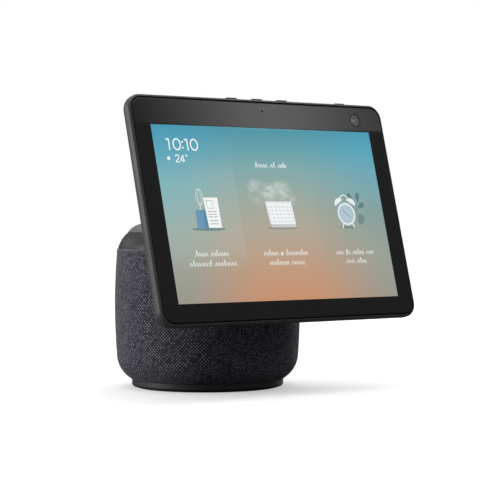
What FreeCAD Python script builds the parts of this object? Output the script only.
"""Smart display: a touch screen on a tilting arm, which a motor swivels round a fabric-covered speaker base.

Millimetres, +Z up. The origin is on the swivel axis at the underside of the foot, and the screen faces -Y.
Screen pieces are drawn upright in a local frame, X to the right, Y into the screen from the front of the
cover glass and Z up from the centre of the picture, and `placed` then leans them back and lifts them.
"""
import FreeCAD, Part
import math
import os

# Fabric body: a barrel-shaped side with a rounded lower edge
BODY_R = 74.15
WIDEST_Z = 65.0
BARREL_R = 520.0
LOWER_EDGE_R = 22.5
LOWER_EDGE_Z = 26.5
FABRIC_LOW_Z = 6.6
FABRIC_TOP_Z = 110.4
FABRIC_T = 1.3
GRILLE_T = 2.1
# Foot
FOOT_R = 60.6
FOOT_TOP_Z = 6.5
PAD_R = 57.0
PAD_T = 2.0
# Fixed shoulder and turning cap
RING_TOP_R, RING_TOP_Z = 64.4, 122.8
CAP_LOW_Z = 123.25
CAP_R = 64.0
CAP_TOP_Z = 132.2
CAP_SKIRT_R = 59.4
# The shoulder's lip slopes up inside the cap, so that no light shows through the gap between them
LIP_R, LIP_TOP_Z = 61.4, 124.4
LIP_GAP = 0.45
# Speaker enclosure and drivers
BOX_R = 66.0
BOX_LOW_Z, BOX_TOP_Z = 10.5, 88.0
BOX_CORNER = 15.0
BAFFLE_Y, BOX_BACK_Y = -50.0, 42.0
WALL = 2.5
WOOFER_Z = 49.5
WOOFER_HOLE_R = 33.2
TWEETER_Z = 50.0
TWEETER_AT_R = 64.0
TWEETER_DEG = 60.0
# Swivel drive
DECK_Z, DECK_T, DECK_R = 91.0, 3.0, 69.0
BEARING_Z, BEARING_H = 95.0, 7.0
BALL_R, BALL_PITCH_R, BALLS = 1.75, 23.0, 20
HUB_R, HUB_BORE_R = 20.0, 14.0
FLANGE_Z, FLANGE_T, FLANGE_R = 113.0, 3.0, 57.0
MODULE = 1.0
RING_TEETH, PINION_TEETH = 96, 16
MOTOR_Y = MODULE * (RING_TEETH - PINION_TEETH) / 2
SHAFT_R = 1.5
STOP_AT_R = 60.0
# Screen, in its local frame
TILT_DEG = 14.6
SCREEN_Y, SCREEN_Z = -90.5, 138.1
PICTURE_W, PICTURE_H = 217.0, 135.6
HOUSING_W, HOUSING_LOW, HOUSING_TOP = 125.4, -84.4, 91.0
HOUSING_T, HOUSING_CORNER = 13.0, 11.5
GLASS_W, GLASS_LOW, GLASS_TOP = 122.8, -81.6, 88.0
GLASS_T, GLASS_CORNER = 1.1, 9.2
SKIN = 2.0
HINGE_Y, HINGE_Z = 19.0, 10.0
POCKET_W, POCKET_H, POCKET_FLOOR = 36.0, 12.5, 10.2
BOSS_W, BOSS_LOW, BOSS_TOP, BOSS_BACK = 50.0, -14.0, 34.0, 17.0
# Arm
ARM_W = 30.0
BARREL_OUT_R = 8.0
ARM_SKIN = 2.0
PIN_R = 2.0
EAR_X = (20.5, 23.5)
# Controls on the top edge
BUTTON_X = {"mic_camera_button": -25.0, "volume_down_button": 0.0, "volume_up_button": 25.0}
BUTTON_W, BUTTON_D, BUTTON_Y = 10.8, 3.8, 5.0
FLANGE_LOW, FLANGE_HIGH = 87.3, 88.1
BUTTON_TOP, SHUTTER_TOP = 92.5, 92.2
MIC_X = (-52.0, 52.0)
CAMERA_X, CAMERA_Z = 95.7, 77.4
CAMERA_WINDOW_R = 5.6
SENSOR_Z, SENSOR_HOLE_R = 81.4, 0.8
SHUTTER_X = 84.5
SHUTTER_TRAVEL = 11.0

V = FreeCAD.Vector
X_AXIS, Y_AXIS, Z_AXIS = V(1, 0, 0), V(0, 1, 0), V(0, 0, 1)


# ---- shape helpers

def tilted_point(y, z):
    """Where a local screen point lies in the part's frame, in the plane of symmetry."""
    a = math.radians(TILT_DEG)
    return (SCREEN_Y + z * math.sin(a) + y * math.cos(a), SCREEN_Z + z * math.cos(a) - y * math.sin(a))


PIVOT_Y, PIVOT_Z = tilted_point(HINGE_Y, HINGE_Z)


def placed(shape):
    """Leans an upright screen piece back and moves it to its place on the arm."""
    done = shape.copy()
    done.rotate(V(0, 0, 0), X_AXIS, -TILT_DEG)
    done.translate(V(0, SCREEN_Y, SCREEN_Z))
    return done


def save(name, shape):
    shape.exportStep(f"parts/{name}.step")


def group(shapes):
    return Part.makeCompound(list(shapes))


def box(x, y, z):
    """A box from three (low, high) pairs."""
    return Part.makeBox(x[1] - x[0], y[1] - y[0], z[1] - z[0], V(x[0], y[0], z[0]))


def cyl(r, low, high, at=(0.0, 0.0), along=Z_AXIS):
    """A cylinder from low to high along an axis. `at` holds its other two coordinates, in X, Y, Z order."""
    if along == Z_AXIS:
        start = V(at[0], at[1], low)
    elif along == Y_AXIS:
        start = V(at[0], low, at[1])
    else:
        start = V(low, at[0], at[1])
    return Part.makeCylinder(r, high - low, start, along)


def ring(r_out, r_in, low, high, at=(0.0, 0.0), along=Z_AXIS):
    return cyl(r_out, low, high, at, along).cut(cyl(r_in, low - 1, high + 1, at, along))


def outline(points_of, start, steps):
    """A closed wire: each step is the end of a line, or (middle, end) of an arc."""
    edges, here = [], start
    for step in [*steps, start]:
        if isinstance(step[0], tuple):
            middle, end = step
            edges.append(Part.Arc(points_of(here), points_of(middle), points_of(end)).toShape())
        else:
            end = step
            if math.dist(here, end) < 1e-6:
                continue
            edges.append(Part.LineSegment(points_of(here), points_of(end)).toShape())
        here = end
    return Part.Face(Part.Wire(edges))


def turned(start, *steps):
    """A solid of revolution about Z from an outline of (radius, height) points."""
    return outline(lambda p: V(p[0], 0, p[1]), start, steps).revolve(V(0, 0, 0), Z_AXIS, 360)


def side_prism(half_w, start, *steps):
    """An outline of (y, z) points, extruded along X to both sides."""
    face = outline(lambda p: V(-half_w, p[0], p[1]), start, steps)
    return face.extrude(V(2 * half_w, 0, 0))


def slab(half_w, low, top, front, back, corner):
    """A plate upright in the screen's frame, with rounded corners."""
    plate = box((-half_w, half_w), (front, back), (low, top))
    upright = [e for e in plate.Edges if abs(e.tangentAt(e.FirstParameter).y) > 0.99]
    return plate.makeFillet(corner, upright)


def rounded_rim(shape, radius, y):
    """Fillets the rim that lies in the plane of this y."""
    rim = [e for e in shape.Edges if abs(e.BoundBox.YMin - y) < 1e-4 and abs(e.BoundBox.YMax - y) < 1e-4]
    return shape.makeFillet(radius, rim)


def around(count, r, first_deg=0.0):
    """Points evenly spaced on a circle."""
    turns = [math.radians(first_deg + 360.0 * i / count) for i in range(count)]
    return [(r * math.cos(t), r * math.sin(t)) for t in turns]


def screw(head_r, head_low, head_high, shank_r, shank_low, shank_high, at=(0.0, 0.0), along=Z_AXIS):
    """A pan-head screw with a hexagon socket; the head's open side is away from the shank."""
    head = cyl(head_r, head_low, head_high, at, along)
    depth = 0.6 * (head_high - head_low)
    up = shank_high <= head_low + 1e-6
    socket = (head_high - depth, head_high + 1) if up else (head_low - 1, head_low + depth)
    return head.cut(cyl(0.45 * head_r, *socket, at, along)).fuse(cyl(shank_r, shank_low, shank_high, at, along))


def tube(radius, points, bend):
    """A round cable along straight runs joined by tangent arcs of one bend radius."""
    edges, here = [], V(*points[0])
    for before, corner, after in zip(points, points[1:], points[2:]):
        a, b, c = V(*before), V(*corner), V(*after)
        to_a, to_c = (a - b).normalize(), (c - b).normalize()
        half = to_a.getAngle(to_c) / 2
        reach = bend / math.tan(half)
        start, end = b + to_a * reach, b + to_c * reach
        middle = b + (to_a + to_c).normalize() * (bend / math.sin(half) - bend)
        edges.append(Part.LineSegment(here, start).toShape())
        edges.append(Part.Arc(start, middle, end).toShape())
        here = end
    edges.append(Part.LineSegment(here, V(*points[-1])).toShape())
    first = (V(*points[1]) - V(*points[0])).normalize()
    section = Part.Wire([Part.Circle(V(*points[0]), first, radius).toShape()])
    return Part.Wire(edges).makePipeShell([section], True, False)


def dome_step(rim_r, rim_z, rise):
    """The outline step of a spherical cap, from its rim up to the axis."""
    r = (rim_r**2 + rise**2) / (2 * rise)
    half = math.asin(rim_r / r) / 2
    return [((r * math.sin(half), rim_z + rise - r + r * math.cos(half)), (0, rim_z + rise))]


def form_r(z, inset=0.0):
    """Radius of the fabric body's surface, or of a surface inset from it, at a height."""
    barrel_x = BODY_R - BARREL_R
    reach = BARREL_R - LOWER_EDGE_R
    drop = WIDEST_Z - LOWER_EDGE_Z
    edge_x = barrel_x + math.sqrt(reach**2 - drop**2)
    tangent_z = WIDEST_Z - (BARREL_R - inset) * drop / reach
    if z < tangent_z:
        return edge_x + math.sqrt((LOWER_EDGE_R - inset) ** 2 - (z - LOWER_EDGE_Z) ** 2)
    return barrel_x + math.sqrt((BARREL_R - inset) ** 2 - (z - WIDEST_Z) ** 2)


def form_steps(heights, inset):
    """Arc steps that follow the body's surface through these heights, which run up or down in pairs."""
    steps = []
    for z0, z1 in zip(heights, heights[1:]):
        middle = (z0 + z1) / 2
        steps.append(((form_r(middle, inset), middle), (form_r(z1, inset), z1)))
    return steps


def body_shell(low, top, outer_inset, inner_inset):
    """A thin shell that follows the body's surface between two heights."""
    bend = LOWER_EDGE_Z - 3
    up = form_steps([low, bend, top], outer_inset)
    down = form_steps([top, bend, low], inner_inset)
    start = (form_r(low, outer_inset), low)
    return turned(start, *up, (form_r(top, inner_inset), top), *down)


def involute(base_r, r):
    """The involute angle at a radius, in radians."""
    t = math.sqrt(max(0.0, (r / base_r) ** 2 - 1))
    return t - math.atan(t)


def toothed(teeth, addendum, dedendum, extra, low, high, at=(0.0, 0.0)):
    """A spur gear prism with 20 degree involute flanks; extra widens each tooth at the pitch circle."""
    pitch_r = MODULE * teeth / 2
    base_r = pitch_r * math.cos(math.radians(20))
    tip_r, root_r = pitch_r + addendum, pitch_r - dedendum
    half = (math.pi * MODULE / 2 + extra) / 2 / pitch_r + involute(base_r, pitch_r)
    flank_r = max(root_r, base_r + 0.01)
    radii = (flank_r, (flank_r + tip_r) / 2, tip_r)

    def point(r, angle):
        return V(at[0] + r * math.cos(angle), at[1] + r * math.sin(angle), low)

    edges, last = [], None
    for i in range(teeth):
        centre = 2 * math.pi * i / teeth
        rising = [point(r, centre - half + involute(base_r, r)) for r in radii]
        falling = [point(r, centre + half - involute(base_r, r)) for r in reversed(radii)]
        if flank_r > root_r + 1e-6:
            foot_in = point(root_r, centre - half)
            foot_out = point(root_r, centre + half)
        else:
            foot_in, foot_out = rising[0], falling[-1]
        if last is None:
            first = foot_in
        else:
            edges.append(Part.LineSegment(last, foot_in).toShape())
        if foot_in is not rising[0]:
            edges.append(Part.LineSegment(foot_in, rising[0]).toShape())
        edges.append(Part.Arc(*rising).toShape())
        edges.append(Part.LineSegment(rising[2], falling[0]).toShape())
        edges.append(Part.Arc(*falling).toShape())
        if foot_out is not falling[-1]:
            edges.append(Part.LineSegment(falling[-1], foot_out).toShape())
        last = foot_out
    edges.append(Part.LineSegment(last, first).toShape())
    return Part.Face(Part.Wire(edges)).extrude(V(0, 0, high - low))


# ---- foot

FOOT_SCREWS = around(4, 45.0, 45.0)


def foot_pad():
    """Rubber disc that the object stands on."""
    return turned((0, 0), (PAD_R - 0.5, 0), (PAD_R, 0.5), (PAD_R, PAD_T), (0, PAD_T))


def plinth():
    """Round foot with a recess for the pad and four bosses that carry the enclosure."""
    lip = PAD_R + 0.3
    shell = turned((0, PAD_T), (lip, PAD_T), (lip, 0.8), (FOOT_R - 2, 0.8),
                   ((FOOT_R - 0.59, 1.39), (FOOT_R, 2.8)), (FOOT_R, FOOT_TOP_Z), (FOOT_R - 2.4, FOOT_TOP_Z),
                   (FOOT_R - 2.4, 3.8), (0, 3.8))
    for at in FOOT_SCREWS:
        shell = shell.fuse(cyl(4.2, 3.0, BOX_LOW_Z, at))
        shell = shell.cut(cyl(1.6, 0.0, BOX_LOW_Z + 1, at)).cut(cyl(3.1, 0.0, 4.4, at))
    return shell.removeSplitter()


def ballast_plate():
    """Steel plate that keeps the base steady while the screen turns."""
    plate = ring(54.0, 20.0, 4.0, 7.4)
    for at in FOOT_SCREWS:
        plate = plate.cut(cyl(4.5, 3.0, 9.0, at))
    return plate


def base_screws():
    """Four screws up through the foot and four down through the drive deck."""
    low = [screw(2.9, 2.4, 4.4, 1.5, 4.4, 16.0, at) for at in FOOT_SCREWS]
    high = [screw(2.9, DECK_TOP, DECK_TOP + 1.8, 1.5, 83.0, DECK_TOP, at) for at in FOOT_SCREWS]
    return group(low + high)


# ---- speaker

def facing_front(shape):
    """Turns a driver drawn about Z, front up, to face -Y from the baffle."""
    done = shape.copy()
    done.rotate(V(0, 0, 0), X_AXIS, 90)
    done.translate(V(0, BAFFLE_Y, WOOFER_Z))
    return done


def facing_side(shape, side):
    """Turns a driver drawn about Z to face out of the enclosure on one side."""
    done = shape.copy()
    done.rotate(V(0, 0, 0), X_AXIS, 90)
    done.translate(V(0, -TWEETER_AT_R, TWEETER_Z))
    done.rotate(V(0, 0, 0), Z_AXIS, side * TWEETER_DEG)
    return done


def speaker_enclosure():
    """Sealed box with a flat baffle for the woofer and a pod for each tweeter."""
    def block(skin, front, back, low, top):
        r = BOX_R - skin
        form = cyl(r, low, top)
        form = form.makeFillet(BOX_CORNER - skin, [e for e in form.Edges if e.BoundBox.ZMax < low + 0.1])
        return form.common(box((-r, r), (front, back), (low, top)))

    shell = block(0.0, BAFFLE_Y, BOX_BACK_Y, BOX_LOW_Z, BOX_TOP_Z)
    pods, bores = [], []
    for side in (-1, 1):
        pods.append(facing_side(cyl(17.0, -18.0, 0.0), side))
        bores.append(facing_side(cyl(13.2, -15.5, 6.0), side))
    trims = [facing_side(cyl(17.5, 0.0, 12.0), side) for side in (-1, 1)]
    hollow = block(WALL, BAFFLE_Y + 3, BOX_BACK_Y - WALL, BOX_LOW_Z + WALL, BOX_TOP_Z - WALL)
    shell = shell.cut(hollow)
    for pod in pods:
        shell = shell.fuse(pod)
    for at in FOOT_SCREWS:
        shell = shell.fuse(cyl(3.6, BOX_LOW_Z, 17.0, at)).fuse(cyl(3.6, 81.0, BOX_TOP_Z, at))
    for cutter in bores + trims:
        shell = shell.cut(cutter)
    for at in FOOT_SCREWS:
        shell = shell.cut(cyl(1.5, BOX_LOW_Z - 1, 16.0, at)).cut(cyl(1.5, 82.0, BOX_TOP_Z + 1, at))
    shell = shell.cut(cyl(WOOFER_HOLE_R, BAFFLE_Y - 1, BAFFLE_Y + 5, (0, WOOFER_Z), Y_AXIS))
    for x, z in around(4, 35.8, 45.0):
        shell = shell.cut(cyl(1.0, BAFFLE_Y - 1, BAFFLE_Y + 5, (x, WOOFER_Z + z), Y_AXIS))
    return shell


def woofer_frame():
    """Basket with a mounting flange and four windows."""
    basket = turned((38.4, 0), (32.8, 0), (26.0, -20), (26.0, -22), (13, -22), (13, -20.2),
                    (24.4, -20.2), (31.0, 0), (31.0, 3), (38.4, 3))
    for i in range(4):
        window = box((-9, 9), (20, 36), (-16, -4))
        window.rotate(V(0, 0, 0), Z_AXIS, 90 * i)
        basket = basket.cut(window)
    for at in around(4, 35.8, 45.0):
        basket = basket.cut(cyl(1.1, -1, 4, at))
    return facing_front(basket)


def woofer_screws():
    heads = [screw(2.0, 3.0, 4.6, 1.0, -2.8, 3.0, at) for at in around(4, 35.8, 45.0)]
    return group(facing_front(s) for s in heads)


def woofer_magnet():
    """Top plate, ferrite ring, and back plate with the pole piece."""
    top = ring(23.5, 10.7, -25, -22)
    ferrite = ring(25.5, 13.5, -36, -25)
    back = turned((0, -39), (23.5, -39), (23.5, -36), (9.4, -36), (9.4, -22), (0, -22))
    return group(facing_front(s) for s in (top, ferrite, back))


def voice_coil():
    """Coil former with its winding."""
    return facing_front(ring(10.15, 9.9, -28, -14).fuse(ring(10.4, 10.15, -28, -21)))


def woofer_cone():
    """Paper cone and its dust cap."""
    cone = turned((10.15, -14.8), (26.0, -1.4), (26.0, -0.4), (10.15, -13.8))
    cap = turned((0, -11.4), (13.6, -11.4), (14.2, -10.4), *dome_step(14.2, -10.4, 3.4))
    return group(facing_front(s) for s in (cone, cap))


def woofer_surround():
    """Half-roll rubber edge."""
    return facing_front(turned((26.2, -0.2), ((28.5, 2.9), (30.8, -0.2)), (30.1, -0.2), ((28.5, 2.1), (26.9, -0.2))))


def woofer_spider():
    """Corrugated cloth disc that centres the coil."""
    waves = [(10.6, -18.2)]
    radii = [12.4 + 2.02 * i for i in range(7)]
    waves += [(r, -18.2 + (0.7 if i % 2 else -0.7)) for i, r in enumerate(radii)]
    lower = [(r, z - 0.5) for r, z in reversed(waves)]
    return facing_front(turned(waves[0], *waves[1:], *lower))


def tweeter_frames():
    body = turned((0, -12), (12.9, -12), (12.9, 0), (16.4, 0), (16.4, 2), (11, 2), (11, 0), (0, 0))
    return group(facing_side(body, side) for side in (-1, 1))


def tweeter_domes():
    dome = turned((0, 0.2), (10.7, 0.2), (10.7, 0.8), *dome_step(10.7, 0.8, 3.2))
    return group(facing_side(dome, side) for side in (-1, 1))


INLET_Z, INLET_W, INLET_H = 38.0, 12.0, 9.0


def inlet_block(grow, front, back):
    """The rounded window at the back that the power inlet sits in."""
    return slab(INLET_W + grow, INLET_Z - INLET_H - grow, INLET_Z + INLET_H + grow, front, back, 5.0 + grow)


def grille_shell():
    """Slotted plastic barrel under the fabric."""
    shell = body_shell(9.6, 109.6, FABRIC_T + 0.1, FABRIC_T + 0.1 + GRILLE_T)
    slots = []
    for low, top in ((20.0, 60.0), (64.0, 102.0)):
        for i in range(15):
            slot = box((-1.8, 1.8), (-80, 80), (low, top))
            slot.rotate(V(0, 0, 0), Z_AXIS, 12.0 * i + 6.0)
            slots.append(slot)
    return shell.cut(group(slots)).cut(inlet_block(0.6, 55, 85))


def fabric_sleeve():
    """Knitted cover, from the foot up to the shoulder."""
    return body_shell(FABRIC_LOW_Z, FABRIC_TOP_Z, 0.0, FABRIC_T).cut(inlet_block(0.3, 55, 85))


def inlet_panel():
    """Plastic panel round the power inlet, flush with the fabric."""
    shell = body_shell(20.0, 60.0, 0.2, FABRIC_T + GRILLE_T)
    panel = inlet_block(0.0, 55, 85).common(shell)
    return panel.cut(cyl(3.4, 55, 85, (0, INLET_Z), Y_AXIS))


def dc_jack():
    """Barrel jack with its centre contact, on the small board that carries it."""
    body = box((-5, 5), (55, 69.3), (INLET_Z - 5, INLET_Z + 5))
    body = body.cut(cyl(2.85, 58, 71, (0, INLET_Z), Y_AXIS))
    body = body.fuse(cyl(1.0, 57, 68.5, (0, INLET_Z), Y_AXIS))
    return group([body, box((-9, 9), (50.2, 69.0), (INLET_Z - 6.6, INLET_Z - 5))])


def main_board():
    """Power and amplifier board behind the enclosure, with its capacitors, packages and jack header."""
    board = box((-42, 42), (45.0, 46.6), (20, 84))
    tall = [cyl(4.5, 46.6, 56.6, (x, 74), Y_AXIS) for x in (-34, 34)]
    flat = [box((x - 5, x + 5), (46.6, 50), (z - 5, z + 5)) for x in (-31, 31) for z in (27, 42, 57)]
    header = box((-7, 7), (46.6, 50.2), (29, 35))
    return group([board, *tall, *flat, header])


def heat_sink():
    """Finned cooler on the amplifier."""
    sink = box((-22, 22), (46.8, 49), (52, 84))
    for i in range(9):
        x = -21 + 5.25 * i
        sink = sink.fuse(box((x - 0.7, x + 0.7), (49, 60), (52, 84)))
    return sink


def base_harness():
    """Cable from the main board, under the deck, to the swivel axis."""
    return tube(1.3, [(28, 48.5, 78), (28, 48.5, 89.5), (0, 0, 89.5), (0, 0, 94.8)], 3.2)


# ---- swivel drive

DECK_TOP = DECK_Z + DECK_T
BEARING_MID = BEARING_Z + BEARING_H / 2


def motor_deck():
    """Plate over the enclosure with the bearing seat and the rotation stop."""
    deck = ring(DECK_R, BALL_PITCH_R + 0.5, DECK_Z, DECK_TOP)
    deck = deck.fuse(ring(28.0, 24.3, DECK_TOP - 1, BEARING_Z)).fuse(ring(28.0, 26.0, DECK_TOP - 1, BEARING_Z + 7.2))
    deck = deck.fuse(cyl(2.2, DECK_TOP - 1, 108.0, (0, STOP_AT_R)))
    for at in FOOT_SCREWS:
        deck = deck.fuse(cyl(4.0, BOX_TOP_Z, DECK_Z, at)).cut(cyl(1.6, BOX_TOP_Z - 1, DECK_TOP + 1, at))
    return deck


def ball_groove():
    return Part.makeTorus(BALL_PITCH_R, BALL_R + 0.05, V(0, 0, BEARING_MID))


def bearing_outer_race():
    return ring(26.0, 24.1, BEARING_Z, BEARING_Z + BEARING_H).cut(ball_groove())


def bearing_inner_race():
    return ring(21.9, HUB_R, BEARING_Z, BEARING_Z + BEARING_H).cut(ball_groove())


def bearing_balls():
    """Balls and the cage that spaces them."""
    cage = ring(23.7, 22.3, BEARING_MID - 2.3, BEARING_MID + 2.3)
    pocket = cyl(BALL_R + 0.06, BALL_PITCH_R - 3, BALL_PITCH_R + 3, (0, BEARING_MID), X_AXIS)
    balls = []
    for i, (x, y) in enumerate(around(BALLS, BALL_PITCH_R)):
        hole = pocket.copy()
        hole.rotate(V(0, 0, 0), Z_AXIS, 360.0 * i / BALLS)
        cage = cage.cut(hole)
        balls.append(Part.makeSphere(BALL_R, V(x, y, BEARING_MID)))
    return group([*balls, cage])


def motor_stator():
    """Mounting plate, bearing tube and nine-tooth laminated core, with a winding on each tooth."""
    at = (0, MOTOR_Y)
    core = cyl(4.6, 97.0, 102.5, at)
    for x, y in around(9, 1.0):
        tooth = box((0, 8.4), (-0.9, 0.9), (97.0, 102.5)).fuse(box((7.4, 8.4), (-2.2, 2.2), (97.0, 102.5)))
        tooth.rotate(V(0, 0, 0), Z_AXIS, math.degrees(math.atan2(y, x)))
        tooth.translate(V(*at, 0))
        core = core.fuse(tooth)
    mount = cyl(11.0, DECK_TOP, 95.4, at).fuse(cyl(3.2, 95.0, 103.0, at))
    core = core.fuse(mount).cut(cyl(SHAFT_R + 0.06, 90.0, 110.0, at))
    coils = []
    for i in range(9):
        coil = box((5.0, 7.3), (-1.6, 1.6), (96.3, 103.0)).cut(box((4.0, 8.0), (-0.95, 0.95), (96.95, 102.55)))
        coil.rotate(V(0, 0, 0), Z_AXIS, 40.0 * i)
        coil.translate(V(*at, 0))
        coils.append(coil)
    return group([core, *coils])


def motor_bell():
    """Outer rotor cup on its shaft."""
    cup = turned((0, 95.0), (SHAFT_R, 95.0), (SHAFT_R, 103.5), (9.0, 103.5), (9.0, 96.0), (11.0, 96.0),
                 (11.0, 104.0), (10.4, 104.6), (SHAFT_R, 104.6), (SHAFT_R, 112.3), (0, 112.3))
    cup.translate(V(0, MOTOR_Y, 0))
    return cup


def motor_pinion():
    gear = toothed(PINION_TEETH, 1.0, 1.2, -0.12, 105.4, 112.0, (0, MOTOR_Y))
    return gear.cut(cyl(SHAFT_R, 100, 120, (0, MOTOR_Y)))


def motor_board():
    """Driver board for the swivel motor."""
    board = box((-26, 26), (-56, -34), (DECK_TOP + 1.4, DECK_TOP + 3.0))
    chips = [box((x - 4, x + 4), (-50, -42), (DECK_TOP + 3.0, DECK_TOP + 4.4)) for x in (-17, 0, 17)]
    feet = [cyl(2.2, DECK_TOP, DECK_TOP + 1.4, (x, y)) for x in (-22, 22) for y in (-52, -38)]
    for piece in chips + feet:
        board = board.fuse(piece)
    return board


def ring_gear():
    blank = cyl(52.5, 106.0, FLANGE_Z)
    return blank.cut(toothed(RING_TEETH, 1.25, 0.8, 0.12, 105.0, FLANGE_Z + 1))


ARM_SCREWS = [(x, y) for x in (-16.5, 16.5) for y in (-47.0, -20.0)]


def turntable():
    """Hub tube, flange and stop lug that carry the cap and the arm."""
    plate = turned((HUB_BORE_R, 93.6), (HUB_R, 93.6), (HUB_R, BEARING_Z + BEARING_H),
                   (22.0, BEARING_Z + BEARING_H), (22.0, 104.0), (23.5, FLANGE_Z), (FLANGE_R, FLANGE_Z),
                   (FLANGE_R, FLANGE_Z + FLANGE_T), (HUB_BORE_R, FLANGE_Z + FLANGE_T))
    clip_groove = ring(HUB_R + 1, 19.2, 93.9, 94.9)
    plate = plate.cut(clip_groove)
    lug = cyl(2.2, 103.0, FLANGE_Z + FLANGE_T, (0, -STOP_AT_R))
    arm = box((-2.2, 2.2), (-STOP_AT_R, -FLANGE_R + 2), (FLANGE_Z, FLANGE_Z + FLANGE_T))
    plate = plate.fuse(lug).fuse(arm)
    for at in ARM_SCREWS:
        plate = plate.cut(cyl(1.5, 110.0, 118.0, at))
    return plate


def bearing_clip():
    """Snap ring that holds the hub in the bearing."""
    return ring(21.8, 19.2, 93.95, 94.85).cut(box((-3, 3), (0, 30), (90, 100)))


# ---- shoulder, cap and arm

def shoulder_ring():
    """Fixed trim between the fabric and the turning cap."""
    low = FABRIC_TOP_Z + 0.2
    return turned((71.6, low), ((69.0, 117.0), (RING_TOP_R, RING_TOP_Z)), (LIP_R, LIP_TOP_Z), (60.2, LIP_TOP_Z),
                  (60.2, RING_TOP_Z - 2), (62.6, RING_TOP_Z - 2), ((66.6, 116.0), (69.0, low)))


def lip_clearance():
    """The room over the shoulder's lip that the cap and the arm keep as they turn."""
    slope = (LIP_TOP_Z - RING_TOP_Z) / (RING_TOP_R - LIP_R)
    outer_r = RING_TOP_R + 2
    return turned((CAP_SKIRT_R, FLANGE_Z), (outer_r, FLANGE_Z), (outer_r, RING_TOP_Z + LIP_GAP - 2 * slope),
                  (LIP_R, LIP_TOP_Z + LIP_GAP), (CAP_SKIRT_R, LIP_TOP_Z + LIP_GAP))


NOTCH_BACK = -18.0


def top_cap():
    """Turning cap with a notch for the arm."""
    cap = turned((CAP_R, CAP_LOW_Z), ((58.9, 128.1), (50.5, 130.7)), ((25.3, 131.8), (0, CAP_TOP_Z)),
                 (0, CAP_TOP_Z - 2.2), (50.0, 128.5), (57.2, 124.8), (57.2, FLANGE_Z + 2), (CAP_SKIRT_R, FLANGE_Z + 2),
                 (CAP_SKIRT_R, CAP_LOW_Z))
    notch = box((-ARM_W - 0.35, ARM_W + 0.35), (-80, NOTCH_BACK + 0.35), (110, 140))
    return cap.cut(notch).cut(lip_clearance())


def arm_block(inset):
    """The arm's outer form, or its hollow at an inset: a barrel on a neck that rises from the cap."""
    r = BARREL_OUT_R - inset
    top_deg, low_deg = 53.0, -137.3

    def on_barrel(deg):
        return (PIVOT_Y + r * math.cos(math.radians(deg)), PIVOT_Z + r * math.sin(math.radians(deg)))

    back, low = (NOTCH_BACK, CAP_LOW_Z) if inset == 0 else (NOTCH_BACK + 4, CAP_LOW_Z - 4)
    chin = (-63.0 + 1.4 * inset, CAP_LOW_Z + 0.5)
    top_arc = ((-42.7, 137.3 - 1.06 * inset), (NOTCH_BACK, CAP_TOP_Z - 0.3 - 1.04 * inset))
    steps = [top_arc]
    if inset:
        steps += [(back, top_arc[1][1])]
    steps += [(back, low), (chin[0] + 1.0, low), chin, on_barrel(low_deg), (on_barrel(180.0), on_barrel(top_deg))]
    block = side_prism(ARM_W - inset, on_barrel(top_deg), *steps)
    if inset == 0:
        rim = [e for e in block.Edges
               if abs(e.BoundBox.XMin - e.BoundBox.XMax) < 1e-4 and e.BoundBox.ZMax > CAP_LOW_Z + 0.6
               and not (e.BoundBox.YMin > NOTCH_BACK - 0.01)]
        block = block.makeFillet(2.4, rim)
    slope = 0.95
    reach = 30.0
    base_r = CAP_R - inset
    low_r = base_r - 10.0 / slope
    cone = Part.makeCone(low_r, base_r + reach / slope, 10.0 + reach, V(0, 0, CAP_LOW_Z - 10.0))
    return block.common(cone) if inset == 0 else block.common(cone.fuse(cyl(base_r, CAP_LOW_Z - 6, CAP_LOW_Z)))


def ear_window(x_low, x_high):
    """The gap in the barrel that a hinge ear or a cable swings in."""
    def away(r, deg):
        return (PIVOT_Y + r * math.cos(math.radians(deg)), PIVOT_Z + r * math.sin(math.radians(deg)))

    wedge = side_prism((x_high - x_low) / 2, (PIVOT_Y, PIVOT_Z), away(14, 94), away(19, 156), away(14, 218))
    wedge.translate(V((x_low + x_high) / 2, 0, 0))
    return wedge


def arm_shells():
    """The arm's cover, parted along the neck into an upper and a lower shell."""
    skin = arm_block(0).cut(arm_block(ARM_SKIN)).cut(lip_clearance())
    for low, high in ((-EAR_X[1] - 0.6, -EAR_X[0] + 0.6), (-4.5, 4.5), (EAR_X[0] - 0.6, EAR_X[1] + 0.6)):
        skin = skin.cut(ear_window(low, high))
    parting = side_prism(50, (-100, PIVOT_Z), (PIVOT_Y, PIVOT_Z), (-30, 129.5), (0, 127.0), (0, 200), (-100, 200))
    gap = parting.copy()
    gap.translate(V(0, 0, -0.15))
    return skin.common(parting), skin.cut(gap)


def arm_frame():
    """Die-cast arm: a foot on the turntable and a twin neck up to the hinge knuckles."""
    neck = side_prism(15.0, (-66.5, 146.0), (-43.0, 133.2), (-27.0, 128.0), (-27.0, 118.0), (-52.0, 118.0),
                      (-56.5, 124.2), (-72.6, 139.0))
    knuckle = cyl(5.5, -19.0, 19.0, (PIVOT_Y, PIVOT_Z), X_AXIS)
    foot = box((-20, 20), (-52, -14), (FLANGE_Z + FLANGE_T, 119.0))
    body = neck.fuse(knuckle).fuse(foot)
    body = body.cut(box((-5, 5), (-90, -10), (119.0, 160)))
    body = body.cut(cyl(PIN_R, -30, 30, (PIVOT_Y, PIVOT_Z), X_AXIS))
    body = body.cut(box((-5, 5), (-24, 0), (110, 125)))
    for at in ARM_SCREWS:
        body = body.cut(cyl(1.6, 110, 125, at)).cut(cyl(3.1, 119.0, 135, at))
    return body


def arm_screws():
    return group(screw(2.9, 119.0, 120.8, 1.5, 113.3, 119.0, at) for at in ARM_SCREWS)


def hinge_pin():
    return cyl(PIN_R, -27.8, 27.8, (PIVOT_Y, PIVOT_Z), X_AXIS)


def sides(shape):
    """A piece and its mirror image across the plane of symmetry."""
    return group([shape, shape.mirror(V(0, 0, 0), X_AXIS)])


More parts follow.
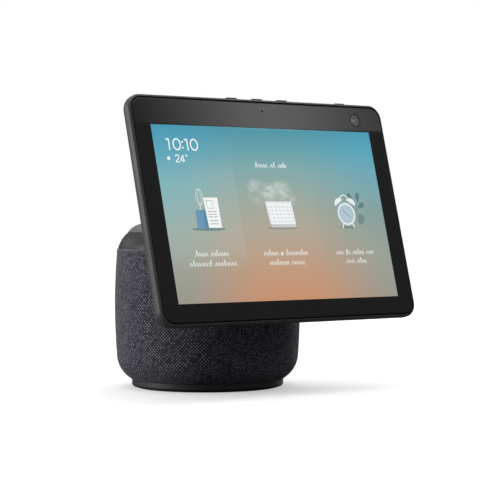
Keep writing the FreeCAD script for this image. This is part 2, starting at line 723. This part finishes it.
def friction_washers():
    """Stack of disc springs that grips each hinge ear."""
    at = (PIVOT_Y, PIVOT_Z)
    stack = ring(4.6, PIN_R, EAR_X[1] + 0.1, EAR_X[1] + 2.3, at, X_AXIS)
    for i in range(3):
        low = EAR_X[1] + 0.5 + 0.6 * i
        stack = stack.cut(ring(6.0, 4.1, low, low + 0.2, at, X_AXIS))
    return sides(stack)


def hinge_nuts():
    """Hexagon nut at each end of the pin."""
    r = 3.6
    corners = [V(25.9, PIVOT_Y + x, PIVOT_Z + z) for x, z in around(6, r, 30.0)]
    nut = Part.Face(Part.makePolygon([*corners, corners[0]])).extrude(V(1.9, 0, 0))
    return sides(nut.cut(cyl(PIN_R, 20, 30, (PIVOT_Y, PIVOT_Z), X_AXIS)))


def turret_harness():
    """Cable from the swivel axis, through the hub and the arm, to the hinge."""
    return tube(1.6, [(0, 0, 95.2), (0, 0, 124.6), (0, -45, 124.6), (0, -63.5, 137.2)], 6.0)


# ---- screen, in its local frame

def rear_housing():
    """Rounded tray with a raised hinge boss and the arm's pocket."""
    tray = slab(HOUSING_W, HOUSING_LOW, HOUSING_TOP, 0.0, HOUSING_T, HOUSING_CORNER)
    tray = rounded_rim(tray, 8.3, HOUSING_T)
    tray = rounded_rim(tray, 2.1, 0.0)
    boss = rounded_rim(slab(BOSS_W, BOSS_LOW, BOSS_TOP, 11.5, BOSS_BACK, 16.0), 3.0, BOSS_BACK)
    tray = tray.fuse(boss)
    hollow = slab(HOUSING_W - SKIN, HOUSING_LOW + SKIN, HOUSING_TOP - SKIN, -1.0, HOUSING_T - SKIN, 9.5)
    hollow = rounded_rim(hollow, 6.3, HOUSING_T - SKIN)
    inner_boss = slab(BOSS_W - SKIN, BOSS_LOW + SKIN, BOSS_TOP - SKIN, 5.0, BOSS_BACK - SKIN, 14.0)
    pocket_low, pocket_top = HINGE_Z - POCKET_H, HINGE_Z + POCKET_H
    walls = slab(POCKET_W + 1.6, pocket_low - 1.6, pocket_top + 1.6, POCKET_FLOOR - 1.6, 16.0, 6.0)
    tray = tray.cut(hollow.fuse(inner_boss).cut(walls))
    tray = tray.cut(slab(POCKET_W, pocket_low, pocket_top, POCKET_FLOOR, 30.0, 4.5))
    glass_seat = slab(GLASS_W + 0.25, GLASS_LOW - 0.25, GLASS_TOP + 0.25, -1.0, 1.4, GLASS_CORNER + 0.25)
    tray = tray.cut(glass_seat)
    for x_low, x_high in ((-EAR_X[1] - 0.6, -EAR_X[0] + 0.6), (-3.2, 3.2), (EAR_X[0] - 0.6, EAR_X[1] + 0.6)):
        tray = tray.cut(box((x_low, x_high), (8, 14), (HINGE_Z - 4.6, HINGE_Z + 4.6)))
    for x, z in FRAME_SCREWS:
        tray = tray.fuse(cyl(2.4, 6.9, HOUSING_T - 1, (x, z), Y_AXIS)).cut(cyl(1.0, 6.0, 10.5, (x, z), Y_AXIS))
    for x in BUTTON_X.values():
        tray = tray.cut(button_slot(x))
    tray = tray.cut(box((79.8, 100.2), (3.6, 6.6), (86, 95))).cut(box((77.6, 102.4), (2.6, 7.6), (90.5, 95)))
    for x in MIC_X:
        tray = tray.cut(cyl(0.6, 86.0, 95.0, (x, BUTTON_Y)))
    return tray


FRAME_SCREWS = [(x, z) for x in (-114.2, 114.2) for z in (-62.0, 0.0, 62.0)]
BRACKET_SCREWS = [(-42.0, -10.0), (42.0, -10.0), (-42.0, 28.6), (0.0, 28.6), (42.0, 28.6)]


def button_slot(x):
    half_w, half_d = BUTTON_W / 2 + 0.15, BUTTON_D / 2 + 0.15
    slot = box((x - half_w, x + half_w), (BUTTON_Y - half_d, BUTTON_Y + half_d), (86, 95))
    return slot.makeFillet(1.6, [e for e in slot.Edges if abs(e.tangentAt(0).z) > 0.99])


def button(x):
    """Key cap with a flange that keeps it in the housing."""
    half_w, half_d = BUTTON_W / 2, BUTTON_D / 2
    cap = box((x - half_w, x + half_w), (BUTTON_Y - half_d, BUTTON_Y + half_d), (FLANGE_LOW, BUTTON_TOP))
    cap = cap.makeFillet(1.45, [e for e in cap.Edges if abs(e.tangentAt(0).z) > 0.99])
    cap = cap.makeFillet(0.4, [e for e in cap.Edges if e.BoundBox.ZMin > BUTTON_TOP - 0.1])
    flange = box((x - half_w - 1, x + half_w + 1), (2.4, 7.6), (FLANGE_LOW, FLANGE_HIGH))
    return cap.fuse(flange)


def camera_shutter():
    """Slider on the top edge with a blade that covers the lens."""
    x = SHUTTER_X
    knob = box((x - 4.8, x + 4.8), (2.9, 7.3), (90.55, SHUTTER_TOP))
    knob = knob.makeFillet(0.45, [e for e in knob.Edges if e.BoundBox.ZMin > SHUTTER_TOP - 0.1])
    stem = box((x - 2.5, x + 2.5), (3.8, 6.4), (FLANGE_LOW, 91.0))
    plate = box((x - 10, x + 10), (2.4, 7.4), (FLANGE_LOW, FLANGE_HIGH))
    bridge = box((x - 4.9, x + 4.9), (1.35, 3.0), (86.6, FLANGE_HIGH))
    blade = box((x - CAMERA_WINDOW_R, x + CAMERA_WINDOW_R), (1.35, 1.7), (71.4, FLANGE_HIGH))
    for piece in (stem, plate, bridge, blade):
        knob = knob.fuse(piece)
    return knob


def cover_glass():
    glass = rounded_rim(slab(GLASS_W, GLASS_LOW, GLASS_TOP, 0.0, GLASS_T, GLASS_CORNER), 0.5, 0.0)
    return glass.cut(cyl(SENSOR_HOLE_R, -1, 3, (0.0, SENSOR_Z), Y_AXIS))


def bezel_mask():
    """Black border printed behind the glass."""
    front, back = GLASS_T + 0.03, GLASS_T + 0.1
    mask = slab(GLASS_W - 0.4, GLASS_LOW + 0.4, GLASS_TOP - 0.4, front, back, GLASS_CORNER - 0.4)
    half_w, half_h = PICTURE_W / 2, PICTURE_H / 2
    mask = mask.cut(box((-half_w, half_w), (0, 3), (-half_h, half_h)))
    mask = mask.cut(cyl(CAMERA_WINDOW_R, 0, 3, (CAMERA_X, CAMERA_Z), Y_AXIS))
    return mask.cut(cyl(SENSOR_HOLE_R, 0, 3, (0.0, SENSOR_Z), Y_AXIS))


def lcd_panel():
    return box((-111.5, 111.5), (1.25, 2.75), (-71.0, 70.3))


def backlight():
    return box((-112, 112), (2.85, 5.4), (-73, 71.3))


def mid_frame():
    """Metal plate that the panel and the hinge bracket are fixed to."""
    plate = slab(117.0, -78.0, 71.6, 5.6, 6.8, 5.0)
    for at in FRAME_SCREWS:
        plate = plate.cut(cyl(1.1, 4, 8, at, Y_AXIS))
    for at in BRACKET_SCREWS:
        plate = plate.cut(cyl(1.0, 4, 8, at, Y_AXIS))
    return plate


def hinge_bracket():
    """Steel plate with two ears that turn on the hinge pin."""
    plate = slab(47.5, -14.0 + 0.5, 33.0, 6.9, 8.4, 4.0)
    at = (HINGE_Y, HINGE_Z)
    for low, high in (EAR_X, (-EAR_X[1], -EAR_X[0])):
        web = box((low, high), (8.0, HINGE_Y), (HINGE_Z - 3.5, HINGE_Z + 3.5))
        ear = web.fuse(cyl(5.0, low, high, at, X_AXIS)).cut(cyl(PIN_R + 0.05, low - 1, high + 1, at, X_AXIS))
        plate = plate.fuse(ear)
    plate = plate.cut(box((-6.5, 6.5), (6, 9), (-20, 13.5)))
    for at in BRACKET_SCREWS:
        plate = plate.cut(cyl(1.05, 6, 9, at, Y_AXIS))
    return plate


def screen_screws():
    """Screws from the metal plate into the housing, and from the hinge bracket into the plate."""
    front = [screw(1.9, 4.4, 5.6, 1.0, 5.6, 10.3, at, Y_AXIS) for at in FRAME_SCREWS]
    back = [screw(2.0, 8.4, 9.6, 1.0, 5.65, 8.4, at, Y_AXIS) for at in BRACKET_SCREWS]
    return group(front + back)


def display_board():
    """Processor board with its shield cans."""
    board = box((-62, 62), (7.5, 8.5), (-70, -22))
    cans = [box((x - 13, x + 13), (8.5, 10.4), (-62, -34)) for x in (-42, 0, 42)]
    for can in cans:
        board = board.fuse(can)
    return board


def screen_harness():
    """Flat cable from the processor board, with the round stretch that goes on to the hinge barrel."""
    flat = box((-5.5, 5.5), (6.95, 7.3), (-30, 12.5))
    return flat.fuse(cyl(1.6, 7.1, 14.6, (0.0, HINGE_Z), Y_AXIS))


def camera_module():
    """Camera body with its funnel-shaped hood, and its domed front element."""
    body = box((CAMERA_X - 4.7, CAMERA_X + 4.7), (3.9, 7.6), (CAMERA_Z - 4.7, CAMERA_Z + 4.7))
    hood = turned((2.8, 0), (CAMERA_WINDOW_R - 0.2, 0), (CAMERA_WINDOW_R - 0.2, 1.95), (CAMERA_WINDOW_R - 0.5, 1.95),
                  (3.5, 0.75), (2.8, 0.75))
    lens = turned((0, 0.02), (2.75, 0.02), (2.75, 0.5), *dome_step(2.75, 0.5, 0.7))
    for piece in (hood, lens):
        piece.rotate(V(0, 0, 0), X_AXIS, 90)
        piece.translate(V(CAMERA_X, 3.9, CAMERA_Z))
    return group([body.fuse(hood), lens])


def light_sensor():
    chip = box((-1.6, 1.6), (1.9, 2.6), (SENSOR_Z - 1.6, SENSOR_Z + 1.6))
    return chip.fuse(ring(1.5, SENSOR_HOLE_R, GLASS_T + 0.2, 1.9, (0.0, SENSOR_Z), Y_AXIS))


def button_board():
    """Strip with three tactile switches under the keys and a microphone at each end."""
    strip = box((-56, 56), (3.0, 8.4), (84.2, 85.0))
    for x in BUTTON_X.values():
        strip = strip.fuse(box((x - 2.6, x + 2.6), (3.7, 6.9), (85.0, 86.0)))
        strip = strip.fuse(cyl(1.0, 86.0, 86.6, (x, BUTTON_Y)))
    for x in MIC_X:
        strip = strip.fuse(cyl(1.8, 85.0, 88.0, (x, BUTTON_Y)))
    return strip


def wifi_antennas():
    return group(box((x - 5, x + 5), (8.2, 8.9), (18, 52)) for x in (-102.0, 102.0))


def main():
    os.makedirs("parts", exist_ok=True)
    upright = (foot_pad, plinth, ballast_plate, base_screws, speaker_enclosure, woofer_frame, woofer_screws,
               woofer_magnet, voice_coil, woofer_cone, woofer_surround, woofer_spider, tweeter_frames,
               tweeter_domes, grille_shell, fabric_sleeve, inlet_panel, dc_jack, main_board, heat_sink,
               base_harness, motor_deck, bearing_outer_race, bearing_inner_race, bearing_balls, motor_stator,
               motor_bell, motor_pinion, motor_board, ring_gear, turntable, bearing_clip, shoulder_ring,
               top_cap, arm_frame, arm_screws, hinge_pin, friction_washers, hinge_nuts, turret_harness)
    on_screen = (rear_housing, camera_shutter, cover_glass, bezel_mask, lcd_panel, backlight, mid_frame,
                 screen_screws, hinge_bracket, display_board, screen_harness, camera_module, light_sensor,
                 button_board, wifi_antennas)
    for make in upright:
        save(make.__name__, make())
    for make in on_screen:
        save(make.__name__, placed(make()))
    for name, x in BUTTON_X.items():
        save(name, placed(button(x)))
    for name, shell in zip(("arm_shell_upper", "arm_shell_lower"), arm_shells()):
        save(name, shell)


main()
